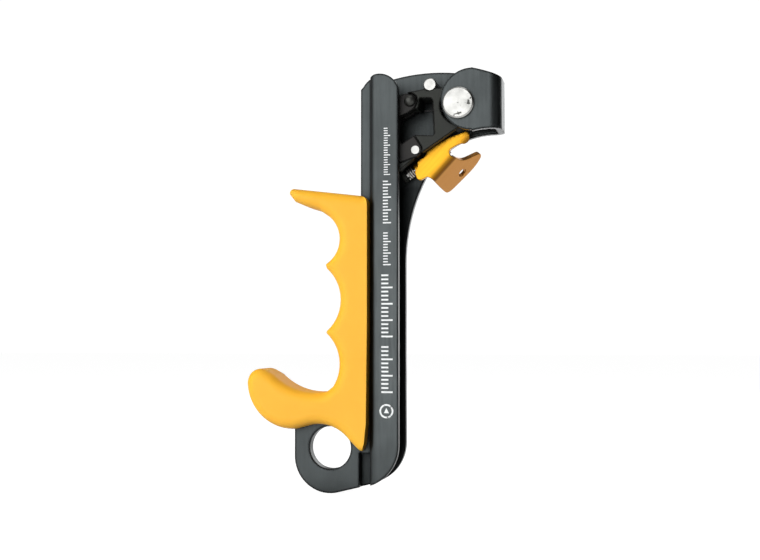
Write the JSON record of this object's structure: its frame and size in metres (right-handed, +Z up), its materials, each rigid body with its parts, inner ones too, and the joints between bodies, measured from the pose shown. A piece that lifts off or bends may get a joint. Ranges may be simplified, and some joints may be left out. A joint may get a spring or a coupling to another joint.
{
  "type": "handled rope clamp",
  "caption": "Handled rope ascender: dark aluminium profile with a rope channel and foot eye, yellow finger grip, and a sprung toothed cam with a gold catch lever.",
  "frame": {"origin": "centre of the foot eye on the middle plane of the frame", "axes": "+X from the grip to the rope channel, +Y from the front tab to the back plate, +Z up the rope"},
  "size_m": [0.1228, 0.0305, 0.2012],
  "materials": {
    "anodised_aluminium": "dark slate anodised, satin",
    "grip_rubber": "warm yellow moulded elastomer, matt",
    "core_plastic": "dark moulded liner",
    "plated_steel": "satin",
    "polished_steel": "bright turned face",
    "bearing_plastic": "low-friction polymer",
    "black_coated_steel": "matt olive-black coating",
    "bush_bronze": "sintered bronze",
    "shoe_steel": "dark brown-black heat-treated steel",
    "black_pin": "blackened, domed",
    "spring_steel": "drawn wire",
    "gold_anodised": "gold anodised sheet, satin"
  },
  "bodies": {
    "frame_body": {"frame": "anodised_aluminium", "grip": "grip_rubber", "grip_core": "core_plastic", "grip_rivets": "plated_steel", "cam_axle": "polished_steel", "axle_ring": "plated_steel", "thrust_washers": "bearing_plastic", "stop_pin": "polished_steel"},
    "cam_body": {"cam_arm": "black_coated_steel", "cam_bush": "bush_bronze", "cam_shoe": "shoe_steel", "shoe_upper_pin": "black_pin", "shoe_lower_pin": "polished_steel", "cam_spring": "spring_steel", "lever_pin": "plated_steel", "lever_pin_clips": "plated_steel", "lever_spring": "spring_steel"},
    "lever_body": {"lever": "gold_anodised"}
  },
  "joints": [
    {"name": "cam_swing", "type": "hinge", "parent": "frame_body", "child": "cam_body", "pos_m": [0.0632, 0, 0.1609], "axis": [0, -1, 0], "range_deg": [0, 34], "stiffness_Nm_per_rad": 0.25, "springref_deg": -22.92},
    {"name": "lever_tilt", "type": "hinge", "parent": "cam_body", "child": "lever_body", "pos_m": [0.0379, 0.0034, 0.1308], "axis": [-0.8625, 0, -0.506], "range_deg": [0, 15], "stiffness_Nm_per_rad": 0.06, "springref_deg": -28.65}
  ]
}
